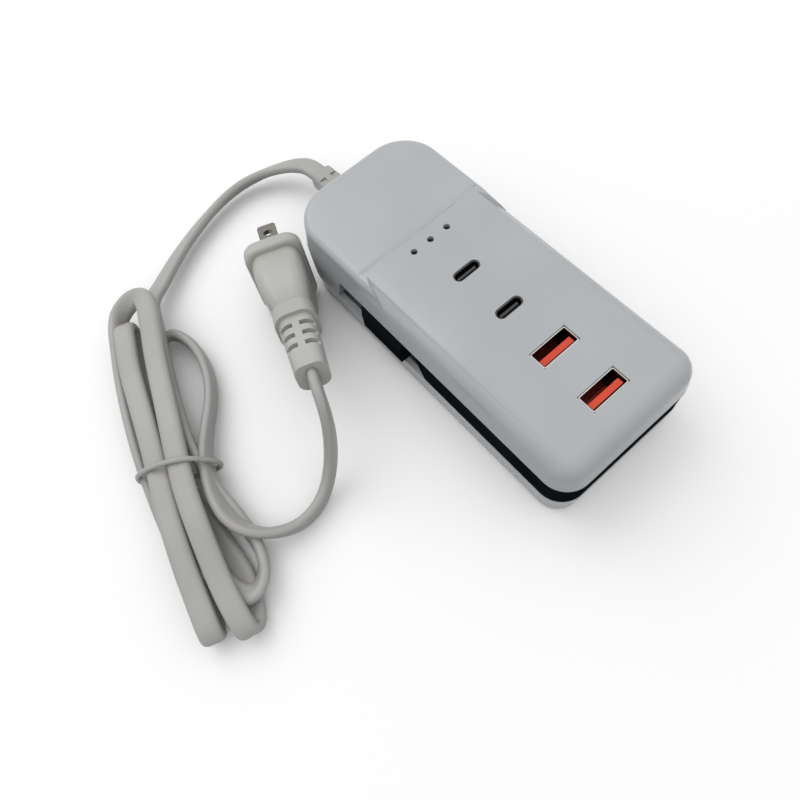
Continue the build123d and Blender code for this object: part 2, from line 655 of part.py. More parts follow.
# Cord gland: a flange inside the wall, a neck and a slotted strain relief that narrows to the cord
with BuildPart() as cord_gland:
    with BuildSketch(Plane.XZ.offset(wall - half_length)):
        with Locations((0, gland_z)):
            RectangleRounded(gland_width + 2 * gland_lap, gland_height + 2 * gland_lap, gland_height / 3)
    extrude(amount=gland_flange)
    with BuildSketch(Plane.XZ.offset(wall - half_length)):
        with Locations((0, gland_z)):
            RectangleRounded(gland_width, gland_height, gland_height / 3)
    extrude(amount=-wall)
    with BuildSketch(Plane.XZ.offset(-half_length)):
        with Locations((0, gland_z)):
            RectangleRounded(gland_width, gland_height, gland_height / 3)
    with BuildSketch(Plane.XZ.offset(-gland_end_y)):
        with Locations((0, gland_z)):
            RectangleRounded(gland_tip_width, gland_tip_height, gland_tip_height / 3)
    loft()
    # Rows of slots on both broad faces leave a spine along the middle
    for row in range(gland_rows):
        slot_y = half_length + gland_first_row + row * gland_row_pitch
        for up in (-1, 1):
            for side in (-1, 1):
                with Locations((side * relief_spine / 2, slot_y, gland_z + up * relief_core)):
                    Box(gland_width, relief_slot, gland_height,
                        align=(Align.MIN if side > 0 else Align.MAX, Align.CENTER,
                               Align.MIN if up > 0 else Align.MAX), mode=Mode.SUBTRACT)
write(cord_gland, "cord_gland")

# Screws and feet
with BuildPart() as case_screws:
    with BuildSketch(Plane.XY.offset(foot_drop + fit_gap)):
        with Locations(*screw_at):
            Circle(screw_head / 2)
    extrude(amount=screw_head_depth)
    with BuildSketch(Plane.XY.offset(foot_drop + fit_gap)):
        with Locations(*screw_at):
            Circle(screw_diameter / 2 - port_clearance)
    extrude(amount=seam_z - foot_drop + screw_bite)
write(case_screws, "case_screws")

with BuildPart() as feet:
    with BuildSketch():
        with Locations(*foot_at):
            Circle(foot_diameter / 2)
    extrude(amount=foot_thickness)
write(feet, "feet")


def cord_route(points):
    """A path of straight runs and tangent arcs, each arc as large as its two runs allow."""
    corners = [Vector(*p) for p in points]
    runs = [b - a for a, b in zip(corners, corners[1:])]
    radii = []
    for before, after in zip(runs, runs[1:]):
        half_turn = radians(before.get_angle(after)) / 2
        radii.append(0.45 * min(before.length, after.length) / tan(half_turn))
    print("cord radii", [round(r, 1) for r in radii])
    return FilletPolyline(*corners, radius=radii)


def cord_tube(name, points):
    """A round cord along its route."""
    with BuildPart() as tube:
        with BuildLine():
            route = cord_route(points)
        with BuildSketch(Plane(route @ 0, z_dir=route % 0)):
            Circle(cord_diameter / 2)
        sweep(path=route)
    section = pi * cord_diameter**2 / 4
    print(name, "length", round(route.length, 1), "volume", round(tube.part.volume, 1),
          "section times length", round(section * route.length, 1))
    write(tube, name)


cord_tube("cord_lead_in", lead_in_points)
cord_tube("cord_side_loop", side_loop_points)
cord_tube("cord_plug_lead", plug_lead_points)

# Hank: the outer shape of the folded turns, from the cord end to the front
hank_plane = Plane((*hank_start, 0), x_dir=(hank_start[1] - hank_end[1], hank_end[0] - hank_start[0], 0),
                   z_dir=(hank_end[0] - hank_start[0], hank_end[1] - hank_start[1], 0))
with BuildPart() as cord_hank:
    for along, shift, width, height in hank_sections:
        with BuildSketch(hank_plane.offset(along)):
            with Locations((shift, tie_wire + hank_lift + height / 2)):
                Ellipse(width / 2, height / 2)
    loft()
write(cord_hank, "cord_hank")

with BuildPart() as cord_tie:
    with BuildSketch(hank_plane.offset(tie_along - tie_wire / 2)):
        with Locations((tie_shift, tie_wire + hank_lift + tie_height / 2)):
            Ellipse(tie_width / 2 + tie_wire + fit_gap, tie_height / 2 + tie_wire + fit_gap)
            Ellipse(tie_width / 2 + fit_gap, tie_height / 2 + fit_gap, mode=Mode.SUBTRACT)
    extrude(amount=tie_wire)
write(cord_tie, "cord_tie")

# Plug: a flange, a tapered grip, a collar and a slotted relief, lying on its edge with the blades tipped down
with BuildPart() as plug_body:
    with BuildSketch(plug_plane):
        RectangleRounded(plug_flange_width, plug_flange_height, plug_corner)
    extrude(amount=plug_flange)
    fillet(plug_body.edges().group_by(Axis(plug_plane.origin, plug_axis))[-1], plug_edge)
    for at, width, height, corner in plug_grip:
        with BuildSketch(plug_plane.offset(at)):
            RectangleRounded(width, height, corner)
    loft()
    with BuildSketch(plug_plane.offset(collar_at)):
        RectangleRounded(collar_width, collar_height, collar_height / 3)
    extrude(amount=collar_length)
    with BuildSketch(plug_plane.offset(collar_at + collar_length)):
        RectangleRounded(relief_width, relief_width, relief_width / 3)
    with BuildSketch(plug_plane.offset(plug_length)):
        RectangleRounded(relief_tip, relief_tip, relief_tip / 3)
    loft()
    for row in range(relief_rows):
        row_at = collar_at + collar_length + relief_first_row + row * relief_row_pitch
        for up in (-1, 1):
            for side in (-1, 1):
                with BuildSketch(plug_plane.offset(row_at)):
                    with Locations((side * relief_spine / 2, up * relief_core)):
                        Rectangle(relief_width, relief_width, align=(Align.MIN if side > 0 else Align.MAX,
                                                                     Align.MIN if up > 0 else Align.MAX))
                extrude(amount=relief_slot, mode=Mode.SUBTRACT)
write(plug_body, "plug_body")

with BuildPart() as plug_blades:
    for side in (-1, 1):
        blade_face = side * blade_spacing / 2 + blade_thickness / 2
        flat = Plane(plug_plane.origin + plug_plane.y_dir * blade_face, x_dir=plug_plane.x_dir,
                     z_dir=plug_plane.y_dir)
        with BuildSketch(flat):
            with Locations((0, blade_length / 2)):
                Rectangle(blade_width, blade_length)
            fillet(vertices().group_by(Axis.Y)[-1], blade_width / 5)
            with Locations((0, blade_hole_from_face)):
                Circle(blade_hole / 2, mode=Mode.SUBTRACT)
        extrude(amount=-blade_thickness)
write(plug_blades, "plug_blades")
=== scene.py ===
# %% [markdown]
# A desktop USB charger, dressed for its picture.
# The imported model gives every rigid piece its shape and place, in metres. This lesson adds what a camera
# sees on top of that: finishes, round shoulders on the cover, contacts in the sockets, a flat mains cord
# with its tied hank, a floor and light.

# %% The frame
from math import cos, pi, radians, sin, tan

import bmesh
import bpy
from mathutils import Matrix, Vector


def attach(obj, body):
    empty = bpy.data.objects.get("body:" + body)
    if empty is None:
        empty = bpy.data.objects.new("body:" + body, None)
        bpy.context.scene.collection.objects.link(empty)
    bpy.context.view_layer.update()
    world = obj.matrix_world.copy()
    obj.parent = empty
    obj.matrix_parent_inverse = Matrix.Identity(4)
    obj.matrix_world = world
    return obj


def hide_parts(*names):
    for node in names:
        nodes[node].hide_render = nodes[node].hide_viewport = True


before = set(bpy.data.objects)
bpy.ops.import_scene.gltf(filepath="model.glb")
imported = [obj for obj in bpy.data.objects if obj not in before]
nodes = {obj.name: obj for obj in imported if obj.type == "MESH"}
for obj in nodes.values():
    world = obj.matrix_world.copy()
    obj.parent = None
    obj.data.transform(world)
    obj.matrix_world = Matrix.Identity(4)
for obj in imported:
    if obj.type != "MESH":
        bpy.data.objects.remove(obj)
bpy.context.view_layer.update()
MM = 0.001


# %% [markdown]
# Small helpers. Colours are written as sRGB hex values, as a colour picker gives them, and one function
# turns them to the linear values that the shader works with. Another adds one node with its settings and
# links. The last tells what the eye sees from light that bounces, which the floor and the world both need.

# %% Colour and node helpers
def linear(hex_colour):
    """An sRGB hex colour as linear red, green, blue and alpha."""
    values = [int(hex_colour[i:i + 2], 16) / 255 for i in (1, 3, 5)]
    return (*[v / 12.92 if v <= 0.04045 else ((v + 0.055) / 1.055) ** 2.4 for v in values], 1.0)


def add_node(material, kind, settings=None, links=None):
    """Add one shader node; settings go to its properties or its sockets, links join its sockets to outputs."""
    node = material.node_tree.nodes.new(kind)
    for name, value in (settings or {}).items():
        if isinstance(name, str) and hasattr(node, name):
            setattr(node, name, value)
        else:
            node.inputs[name].default_value = value
    for name, output in (links or {}).items():
        material.node_tree.links.new(output, node.inputs[name])
    return node


def new_material(name):
    """An empty material with its output and a surface shader joined to it."""
    material = bpy.data.materials.new(name)
    material.use_nodes = True
    material.node_tree.nodes.clear()
    shader = add_node(material, "ShaderNodeBsdfPrincipled")
    add_node(material, "ShaderNodeOutputMaterial", links={"Surface": shader.outputs["BSDF"]})
    return material, shader


def join(material, output, shader, socket):
    """Link a node's output to one socket of the surface shader."""
    material.node_tree.links.new(output, shader.inputs[socket])


def per_metre(size_mm):
    """Noise scale on Object coordinates for features about this many millimetres across."""
    return 1 / (size_mm * MM)


def seen_directly(owner):
    """A value of 1 for rays from the eye, off a gloss or through glass, and of 0 for other bounced light."""
    ray = add_node(owner, "ShaderNodeLightPath")
    mirrored = add_node(owner, "ShaderNodeMath", {"operation": "MAXIMUM"},
                        {0: ray.outputs["Is Glossy Ray"], 1: ray.outputs["Is Transmission Ray"]})
    seen = add_node(owner, "ShaderNodeMath", {"operation": "MAXIMUM"},
                    {0: ray.outputs["Is Camera Ray"], 1: mirrored.outputs["Value"]})
    return seen.outputs["Value"]


# %% [markdown]
# Moulded plastic is one recipe with different numbers: a base colour that drifts a little, because pigment
# and flow are never quite even, a roughness that drifts too, and a bump for the mould's surface. Polished
# moulds give an orange peel of a millimetre or so, spark-eroded ones a fine grit.

# %% Moulded plastics
flow_mm = 24
flow_edges = (0.35, 0.65)
grain_depth = 0.05 * MM
plastic_ior = 1.54


def moulded_plastic(name, light, dark, roughness, grain_mm, bump):
    """A moulded plastic: two close colours, a roughness range, and a grain of a real size."""
    material, shader = new_material(name)
    place = add_node(material, "ShaderNodeTexCoord")
    flow = add_node(material, "ShaderNodeTexNoise", {"Scale": per_metre(flow_mm), "Detail": 3.0},
                    {"Vector": place.outputs["Object"]})
    colour = add_node(material, "ShaderNodeValToRGB", links={"Fac": flow.outputs["Fac"]})
    colour.color_ramp.elements[0].position = flow_edges[0]
    colour.color_ramp.elements[0].color = linear(dark)
    colour.color_ramp.elements[1].position = flow_edges[1]
    colour.color_ramp.elements[1].color = linear(light)
    join(material, colour.outputs["Color"], shader, "Base Color")
    sheen = add_node(material, "ShaderNodeMapRange", {"To Min": roughness[0], "To Max": roughness[1]},
                     {"Value": flow.outputs["Fac"]})
    join(material, sheen.outputs["Result"], shader, "Roughness")
    grain = add_node(material, "ShaderNodeTexNoise", {"Scale": per_metre(grain_mm), "Detail": 2.0},
                     {"Vector": place.outputs["Object"]})
    relief = add_node(material, "ShaderNodeBump", {"Strength": bump, "Distance": grain_depth},
                      {"Height": grain.outputs["Fac"]})
    join(material, relief.outputs["Normal"], shader, "Normal")
    shader.inputs["IOR"].default_value = plastic_ior
    return material


# Polished ABS: a cool light grey, mirror-like in its highlights with a faint orange peel
case_abs = moulded_plastic("polished_grey_abs", "#ABAEB1", "#A7AAAD", (0.16, 0.22), 1.6, 0.10)
# Spark-eroded black ABS: the grit swallows the highlight, so its specular level is nought
rest_abs = moulded_plastic("black_grit_abs", "#1B2024", "#15191C", (0.42, 0.52), 0.25, 0.35)
rest_abs.node_tree.nodes["Principled BSDF"].inputs["Specular IOR Level"].default_value = 0.0
# Soft vinyl: warmer than the case, with a satin skin from extrusion
cord_vinyl = moulded_plastic("satin_cord_vinyl", "#A5A4A1", "#9D9C99", (0.34, 0.44), 0.8, 0.12)
# Harder vinyl, moulded on to the cord for the plug: smoother than the cord, with a finer grain
plug_vinyl = moulded_plastic("moulded_plug_vinyl", "#AEAEA9", "#A7A7A2", (0.30, 0.38), 0.5, 0.15)
# Glass-filled polyester for socket tongues: dull, with a fine tooth
orange_pbt = moulded_plastic("orange_red_polyester", "#D63C10", "#C2310B", (0.34, 0.42), 0.2, 0.2)
# Liquid crystal polymer for the type C tongues: dark grey and dull
dark_lcp = moulded_plastic("dark_grey_polymer", "#3B3C3F", "#303134", (0.4, 0.5), 0.2, 0.2)
# Plain ABS inside the case, from an unpolished mould
inner_abs = moulded_plastic("plain_inner_abs", "#5E6063", "#525457", (0.45, 0.55), 0.6, 0.2)
# Smoked acrylic for the light pipes: near black while the lights are off, and glossy
smoked_acrylic = moulded_plastic("smoked_acrylic", "#17181A", "#101113", (0.08, 0.12), 2.0, 0.05)
# Grey rubber for the feet: rough, with hardly a highlight
foot_rubber = moulded_plastic("grey_foot_rubber", "#55565A", "#4A4B4F", (0.7, 0.85), 0.3, 0.5)
# Green lacquer on the circuit boards
board_lacquer = moulded_plastic("green_board_lacquer", "#1F5B36", "#17492A", (0.25, 0.35), 0.6, 0.2)
# Sintered ferrite for the transformer and the choke: a dark, dry ceramic
sintered_ferrite = moulded_plastic("sintered_ferrite", "#35363A", "#2A2B2E", (0.5, 0.65), 0.3, 0.4)
# Black epoxy round the rectifier and the fuse
black_epoxy = moulded_plastic("black_epoxy", "#1B1B1C", "#141415", (0.4, 0.5), 0.25, 0.3)
# Shrunk vinyl sleeve round the capacitors
can_sleeve = moulded_plastic("capacitor_sleeve", "#2B2F3C", "#232733", (0.25, 0.35), 1.0, 0.1)
print("plastics:", [m.name for m in bpy.data.materials])


# %% [markdown]
# Sheet metal is drawn and plated. The plating is smooth, but rolling leaves fine lines along the strip, so
# the roughness is stretched noise.

# %% Plated metals
along_the_strip = (1.0, 1.0, 0.08)
painted_shade_fade = 0.8 * MM
# Painted shade colour for the dim depths of the type A shells
painted_recess_shade = "#2A2628"


def plated_metal(name, light, dark, roughness, line_mm, painted_shade_below=None):
    """A plated sheet metal with rolling lines along Z, and painted shade below a given height, if any."""
    material, shader = new_material(name)
    place = add_node(material, "ShaderNodeTexCoord")
    stretch = add_node(material, "ShaderNodeMapping", {"Scale": along_the_strip},
                       {"Vector": place.outputs["Object"]})
    lines = add_node(material, "ShaderNodeTexNoise", {"Scale": per_metre(line_mm), "Detail": 2.0},
                     {"Vector": stretch.outputs["Vector"]})
    colour = add_node(material, "ShaderNodeValToRGB", links={"Fac": lines.outputs["Fac"]})
    colour.color_ramp.elements[0].color = linear(dark)
    colour.color_ramp.elements[1].color = linear(light)
    plating = colour.outputs["Color"]
    # Below the given height the plating fades into the painted shade colour
    if painted_shade_below:
        parts = add_node(material, "ShaderNodeSeparateXYZ", links={"Vector": place.outputs["Object"]})
        rim = add_node(material, "ShaderNodeMapRange",
                       {"From Min": painted_shade_below - painted_shade_fade, "From Max": painted_shade_below},
                       {"Value": parts.outputs["Z"]})
        painted_shade_mix = add_node(material, "ShaderNodeMix", {"data_type": "RGBA", 6: linear(painted_recess_shade)},
                          {0: rim.outputs["Result"], 7: plating})
        plating = painted_shade_mix.outputs[2]
    join(material, plating, shader, "Base Color")
    sheen = add_node(material, "ShaderNodeMapRange", {"To Min": roughness[0], "To Max": roughness[1]},
                     {"Value": lines.outputs["Fac"]})
    join(material, sheen.outputs["Result"], shader, "Roughness")
    shader.inputs["Metallic"].default_value = 1.0
    return material


# The type A shells are bright at the rim and carry a painted shade deep inside, where little light gets in
shell_steel = plated_metal("nickel_plated_steel", "#D9D8D4", "#BDBBB6", (0.16, 0.3), 0.3,
                           painted_shade_below=29.9 * MM)
# The small type C shells are a darker, rougher copy of the same nickel; their dark colour is painted shade
painted_shade_steel = plated_metal("nickel_steel_painted_shade", "#6E6D6A", "#575653", (0.3, 0.4), 0.3)
# Nickel on the brass blades of the plug, darkened by handling
blade_nickel = plated_metal("dark_nickel_plate", "#8B8982", "#6F6D66", (0.2, 0.34), 0.35)
# A flash of gold on the contact springs
contact_gold = plated_metal("gold_flash", "#E3B45A", "#C9973E", (0.2, 0.3), 0.2)
# Zinc on the screws and the pivot pin
screw_steel = plated_metal("zinc_plated_steel", "#B4B4B2", "#96968F", (0.3, 0.4), 0.3)
# Bare aluminium sheet for the heat sink: rolled, not plated
plain_aluminium = plated_metal("plain_aluminium", "#C9C9CA", "#AFAFB1", (0.3, 0.42), 0.4)

# %% [markdown]
# Every piece of the frame now gets its finish. A table from material to pieces is easier to read and to
# change than a line for each piece, and it shows at a glance which pieces are made of the same stuff.

# %% Finishes for the pieces of the frame
finishes = {
    case_abs: ["top_cover", "bottom_cover"],
    inner_abs: ["slot_floor", "port_bay_floor", "transformer_winding", "line_capacitor"],
    rest_abs: ["phone_rest"],
    shell_steel: ["usb_a_shell_1", "usb_a_shell_2"],
    painted_shade_steel: ["usb_c_shell_1", "usb_c_shell_2"],
    orange_pbt: ["usb_a_tongue_1", "usb_a_tongue_2"],
    dark_lcp: ["usb_c_tongue_1", "usb_c_tongue_2"],
    smoked_acrylic: ["light_pipes"],
    board_lacquer: ["power_board", "port_board", "board_link"],
    sintered_ferrite: ["transformer_core", "input_choke"],
    can_sleeve: ["bulk_capacitors", "output_capacitors"],
    black_epoxy: ["bridge_rectifier", "fuse"],
    plain_aluminium: ["heat_sink"],
    screw_steel: ["pivot_pin", "case_screws"],
    foot_rubber: ["feet"],
    cord_vinyl: ["mains_leads", "cord_gland"],
    plug_vinyl: ["plug_body"],
    blade_nickel: ["plug_blades"],
}
for material, names in finishes.items():
    for name in names:
        mesh = nodes[name].data
        mesh.materials.clear()
        mesh.materials.append(material)
print("finished:", sum(len(names) for names in finishes.values()), "nodes")

# %% [markdown]
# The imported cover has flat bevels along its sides, where the real moulding rolls over in one soft round. A
# bevel modifier would stumble over the small facets at the corners, so the round is laid on by hand: a copy
# of the cover is merged and cut by planes that fan out from the round's axis, and what stands outside the
# round is drawn in to it. Towards the hood the round fades out, which leaves the slanted end of the
# shoulder. The hood's step gets a short slope in the same way, because a moulded step is never a knife
# edge.

# %% Rounded cover
half_width = 26.0 * MM
half_length = 60.5 * MM
corner_front = 8.0 * MM
slot_top = 20.4 * MM
panel_z = 30.7 * MM
hood_step_y = 25.0 * MM
draft = radians(8)
round_radius = 6.0 * MM
round_steps = 9
fade_start = 9.0 * MM
fade_end = 22.0 * MM
step_slope = 0.7 * MM
step_support = 1.4 * MM
hair = 0.01 * MM
merge_gap = 0.002 * MM
smooth_below = radians(32)

straight_x = half_width - corner_front
straight_y = corner_front - half_length
axis_z = panel_z - round_radius
axis_out = half_width - tan(draft) * (axis_z - slot_top) - round_radius / cos(draft)

bpy.ops.object.select_all(action="DESELECT")
nodes["top_cover"].select_set(True)
bpy.context.view_layer.objects.active = nodes["top_cover"]
bpy.ops.object.duplicate()
cover = bpy.context.object
cover.name = "rounded_cover"
bpy.ops.mesh.customdata_custom_splitnormals_clear()
bpy.ops.object.mode_set(mode="EDIT")
bpy.ops.mesh.select_all(action="SELECT")
bpy.ops.mesh.remove_doubles(threshold=merge_gap)


def cut_cover(place, normal):
    """Cut the upper faces of the cover by a plane."""
    shape = bmesh.from_edit_mesh(cover.data)
    for face in shape.faces:
        face.select_set(any(vertex.co.z > axis_z for vertex in face.verts))
    bmesh.update_edit_mesh(cover.data)
    bpy.ops.mesh.bisect(plane_co=place, plane_no=normal)


for k in range(round_steps + 1):
    turn = draft + (pi / 2 - draft) * k / round_steps
    for side in (-1, 1):
        cut_cover((side * axis_out, 0, axis_z), (side * sin(turn), 0, -cos(turn)))
    cut_cover((0, straight_y + straight_x - axis_out, axis_z), (0, -sin(turn), -cos(turn)))
for shift in (-step_support, step_support):
    cut_cover((0, hood_step_y + shift, 0), (0, 1, 0))

shape = bmesh.from_edit_mesh(cover.data)
step_shifts = []
drawn_in = 0
for vertex in shape.verts:
    co = vertex.co
    if co.z < axis_z:
        continue
    if abs(co.y - hood_step_y) < hair:
        ends = [edge.other_vert(vertex).co.y - hood_step_y for edge in vertex.link_edges]
        hood_side = any(y > hair for y in ends) - any(y < -hair for y in ends)
        step_shifts.append((vertex, step_slope * hood_side))
    elif co.y < fade_end:
        side = 1 if co.x > 0 else -1
        out = Vector((max(abs(co.x) - straight_x, 0) * side, min(co.y - straight_y, 0), 0))
        beyond = straight_x + out.length - axis_out
        reach = Vector((beyond, co.z - axis_z)).length
        if beyond > 0 and reach > round_radius:
            fade = min(1.0, (fade_end - co.y) / (fade_end - fade_start))
            pull = fade * (1 - round_radius / reach)
            vertex.co = co - out.normalized() * beyond * pull - Vector((0, 0, (co.z - axis_z) * pull))
            drawn_in += 1
for vertex, shift in step_shifts:
    vertex.co.y += shift
bmesh.update_edit_mesh(cover.data)
bpy.ops.object.mode_set(mode="OBJECT")
bpy.ops.object.shade_smooth_by_angle(angle=smooth_below)
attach(cover, "housing")
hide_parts("top_cover")
print("cover faces:", len(cover.data.polygons), "corners drawn in:", drawn_in)

# %% [markdown]
# A type A tongue carries four contact springs on its open face. A plug wipes along them, so they are plated
# with a flash of gold. Each is a thin strip: four cubes are stretched, joined into one piece and get a
# small bevel, which catches the light that reaches into the socket.

# %% Contacts of the type A sockets
contact_at = [-3.5 * MM, -1.0 * MM, 1.0 * MM, 3.5 * MM]
contact_width = 1.0 * MM
contact_thickness = 0.25 * MM
contact_length = 6.5 * MM
contact_drop = 1.2 * MM
contact_bevel = 0.08 * MM
contact_seat = 0.05 * MM
tongue_tip = 1.0 * MM
for number in (1, 2):
    tongue = [vertex.co for vertex in nodes[f"usb_a_tongue_{number}"].data.vertices]
    top = max(co.z for co in tongue)
    face_y = max(co.y for co in tongue if co.z > top - tongue_tip)
    strips = []
    for x in contact_at:
        bpy.ops.object.select_all(action="DESELECT")
        place = (x, face_y + contact_thickness / 2 - contact_seat, top - contact_drop - contact_length / 2)
        bpy.ops.mesh.primitive_cube_add(size=1, location=place)
        strips.append(bpy.context.object)
        strips[-1].scale = (contact_width, contact_thickness, contact_length)
    for strip in strips:
        strip.select_set(True)
    bpy.ops.object.transform_apply(location=True, rotation=True, scale=True)
    bpy.ops.object.join()
    contacts = bpy.context.object
    contacts.name = f"usb_a_contacts_{number}"
    bpy.ops.object.mode_set(mode="EDIT")
    bpy.ops.mesh.select_all(action="SELECT")
    bpy.ops.mesh.bevel(offset=contact_bevel, segments=2)
    bpy.ops.object.mode_set(mode="OBJECT")
    contacts.data.materials.append(contact_gold)
    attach(contacts, "housing")
    print(contacts.name, "faces:", len(contacts.data.polygons))

# %% [markdown]
# The camera stands where the photographer stood: above the front left corner of the case, looking down
# steeply, with the camera rolled a little. Place, aim and roll come from a fit to the picture's edges.

# %% Camera
eye = Vector((-72.97, -74.92, 183.52)) * MM
aim = Vector((-40.27, -13.53, 31.0)) * MM
camera_roll = radians(-13.84)
field_px = 640.2
frame_px = 800

back = (eye - aim).normalized()
level_right = Vector((0, 0, 1)).cross(back).normalized()
level_up = back.cross(level_right)
right = level_right * cos(camera_roll) + level_up * sin(camera_roll)
up = level_up * cos(camera_roll) - level_right * sin(camera_roll)
lens = bpy.data.cameras.new("camera")
lens.sensor_width = 36
lens.lens = field_px / frame_px * lens.sensor_width
lens.clip_start = 0.01
lens.clip_end = 20
camera = bpy.data.objects.new("camera", lens)
camera.matrix_world = Matrix((right, up, back)).transposed().to_4x4()
camera.location = eye
bpy.context.scene.collection.objects.link(camera)
bpy.context.scene.camera = camera
print("lens:", round(lens.lens, 2), "mm")

# %% [markdown]
# The cord is a flat twin lead. Its route is one list of points in millimetres: out of the gland, into the
# hank, six runs down and up the hank, the loose loop beside it, and on to the plug. Each point also has a
# lean: 0 where the flat of the cord lies down, 90 where it stands on its edge. In the hank the points are
# given as distance along it, distance across it and height, because that is how the turns lie.

# %% Cord route
cord_width = 6.7 * MM
cord_thickness = 3.4 * MM
gland_end = Vector((0, 78.5, 12.0))
plug_tail = Vector((-52.39, 9.85, 27.6))
plug_axis = Vector((-0.3411, -0.8934, 0.2924))
hank_start = Vector((-79.5, 88.5, 0))
hank_end = Vector((-110.2, -29.5, 0))
hank_along = (hank_end - hank_start).normalized()
hank_across = Vector((-hank_along.y, hank_along.x, 0))


def in_hank(along, across, height):
    """A point of the hank, from its distance along and across the hank and its height."""
    return hank_start + hank_along * along + hank_across * across + Vector((0, 0, height))


lead_in = [(tuple(gland_end), 0), ((0, 85.0, 12.0), 0), ((-2.2, 91.6, 9.9), 10), ((-6.8, 97.6, 7.4), 30),
           ((-14.0, 102.2, 5.6), 50), ((-23.4, 104.2, 4.8), 55), ((-34.6, 102.4, 4.6), 50),
           ((-46.5, 98.4, 4.6), 40), ((-58.0, 93.0, 4.8), 30), ((-67.5, 86.6, 5.6), 20)]
hank_runs = [
    # In under the top turn, down the right side, round a loose loop and back under
    (5, 6.3, 6.8, 10), (15, 5.6, 7.4, 0), (30, 3.6, 7.4, 0), (46, 3.0, 7.4, 40), (63, 3.3, 7.6, 80),
    (76, 5.2, 6.6, 70), (86, 8.0, 5.2, 60), (95, 10.4, 4.8, 70), (102, 11.2, 5.0, 80), (108, 9.4, 5.6, 60),
    (110.8, 5.4, 6.6, 30), (109.4, 1.0, 7.0, 0), (102, -2.4, 7.0, 0), (91, -4.2, 7.0, 0), (78, -5.0, 7.0, 0),
    (63, -5.2, 7.0, 0), (44, -5.0, 6.4, 0), (28, -4.0, 4.8, 0), (19, -3.2, 3.8, 0),
    # Over the first fold, along the top on the left and over the nose
    (13.5, -2.8, 4.6, 0), (11.9, -2.6, 8.6, 0), (14.4, -2.7, 12.2, 0), (21, -3.5, 12.8, 0),
    (31, -4.9, 12.7, 0), (45, -5.5, 12.5, 0), (63, -6.3, 12.3, 0), (80, -8.0, 12.0, 0),
    (96, -8.4, 11.4, 0), (107, -8.2, 10.6, 0), (114.4, -8.3, 9.4, 0), (117.3, -8.8, 6.0, 0),
    (114.5, -8.9, 3.2, 0),
    # Back along the left edge, standing up, and over the tilted fold
    (106, -8.6, 2.6, 10), (95, -9.6, 3.6, 35), (80, -11.2, 5.2, 65), (63, -12.0, 6.6, 80),
    (47, -11.6, 7.0, 85), (31, -10.2, 7.2, 85), (17.6, -7.9, 7.4, 80), (10.1, -6.2, 7.8, 75),
    (5.6, -3.2, 8.8, 60), (4.2, 2.1, 11.2, 35), (6.0, 6.2, 13.4, 10), (10.1, 7.5, 14.4, 0),
    # Along the top in the middle and over its nose
    (17, 6.7, 14.5, 0), (31, 4.3, 14.5, 0), (47, 2.6, 14.4, 0), (63, 0.6, 14.3, 0), (78, -0.9, 14.0, 0),
    (94, -0.8, 13.0, 0), (106.4, -0.6, 11.6, 0), (116.2, 0.2, 9.6, 0), (120.0, 0.5, 6.2, 0),
    (117.5, 2.5, 3.4, 0),
    # Back along the bottom and out to the loose loop
    (108, 4.2, 2.9, 0), (97, 2.6, 2.9, 0), (80, -2.4, 3.4, 0), (63, -4.6, 3.5, 0), (44, -3.6, 3.5, 0),
    (30, -0.6, 3.6, 0), (21.5, 3.2, 4.0, 20), (18.4, 7.4, 4.4, 60),
]
side_loop = [(20.0, 11.2, 4.8, 85), (26.0, 14.6, 5.0, 90), (34.0, 16.2, 5.0, 90), (43.0, 15.6, 5.2, 90),
             (51.0, 13.0, 5.6, 90), (58.0, 9.6, 6.4, 90), (65.0, 7.0, 7.4, 85), (73.0, 5.6, 8.6, 75),
             (82.0, 5.4, 9.4, 65), (89.5, 7.0, 9.6, 60)]
plug_lead = [((-93.0, -6.2, 8.6), 70), ((-88.0, -10.6, 6.0), 80), ((-81.4, -12.9, 4.2), 85),
             ((-74.4, -12.2, 3.8), 88), ((-68.2, -9.4, 5.2), 88), ((-63.2, -6.4, 10.4), 88),
             ((-59.8, -4.0, 17.0), 88), ((-57.3, -1.5, 23.6), 88), ((-55.6, 1.6, 28.0), 88),
             (tuple(plug_tail + plug_axis * 4.5), 90), (tuple(plug_tail), 90)]
route = [(Vector(point) * MM, lean) for point, lean in lead_in]
route += [(in_hank(*row[:3]) * MM, row[3]) for row in hank_runs + side_loop]
route += [(Vector(point) * MM, lean) for point, lean in plug_lead]
print("route points:", len(route))


# %% [markdown]
# A NURBS spline turns the points into one smooth line. A second spline beside it, half a cord's width away
# on the side that the lean gives, follows the flat: where the two splines lie, there lies the cord's width.

# %% Splines of the cord
level_enough = 0.5


def width_directions(points):
    """For each route point, the unit direction of the cord's width, with no sudden flips."""
    found = []
    level = Vector((1, 0, 0))
    for i, (point, lean) in enumerate(points):
        ahead = points[min(i + 1, len(points) - 1)][0]
        behind = points[max(i - 1, 0)][0]
        tangent = (ahead - behind).normalized()
        sideways = Vector((0, 0, 1)).cross(tangent)
        if sideways.length > level_enough:
            keeps_side = sideways.dot(level) >= 0 or not found
            level = sideways.normalized() if keeps_side else -sideways.normalized()
        wide = level * cos(radians(lean)) + Vector((0, 0, 1)) * sin(radians(lean))
        wide = (wide - tangent * wide.dot(tangent)).normalized()
        found.append(wide if not found or wide.dot(found[-1]) >= 0 else -wide)
    return found


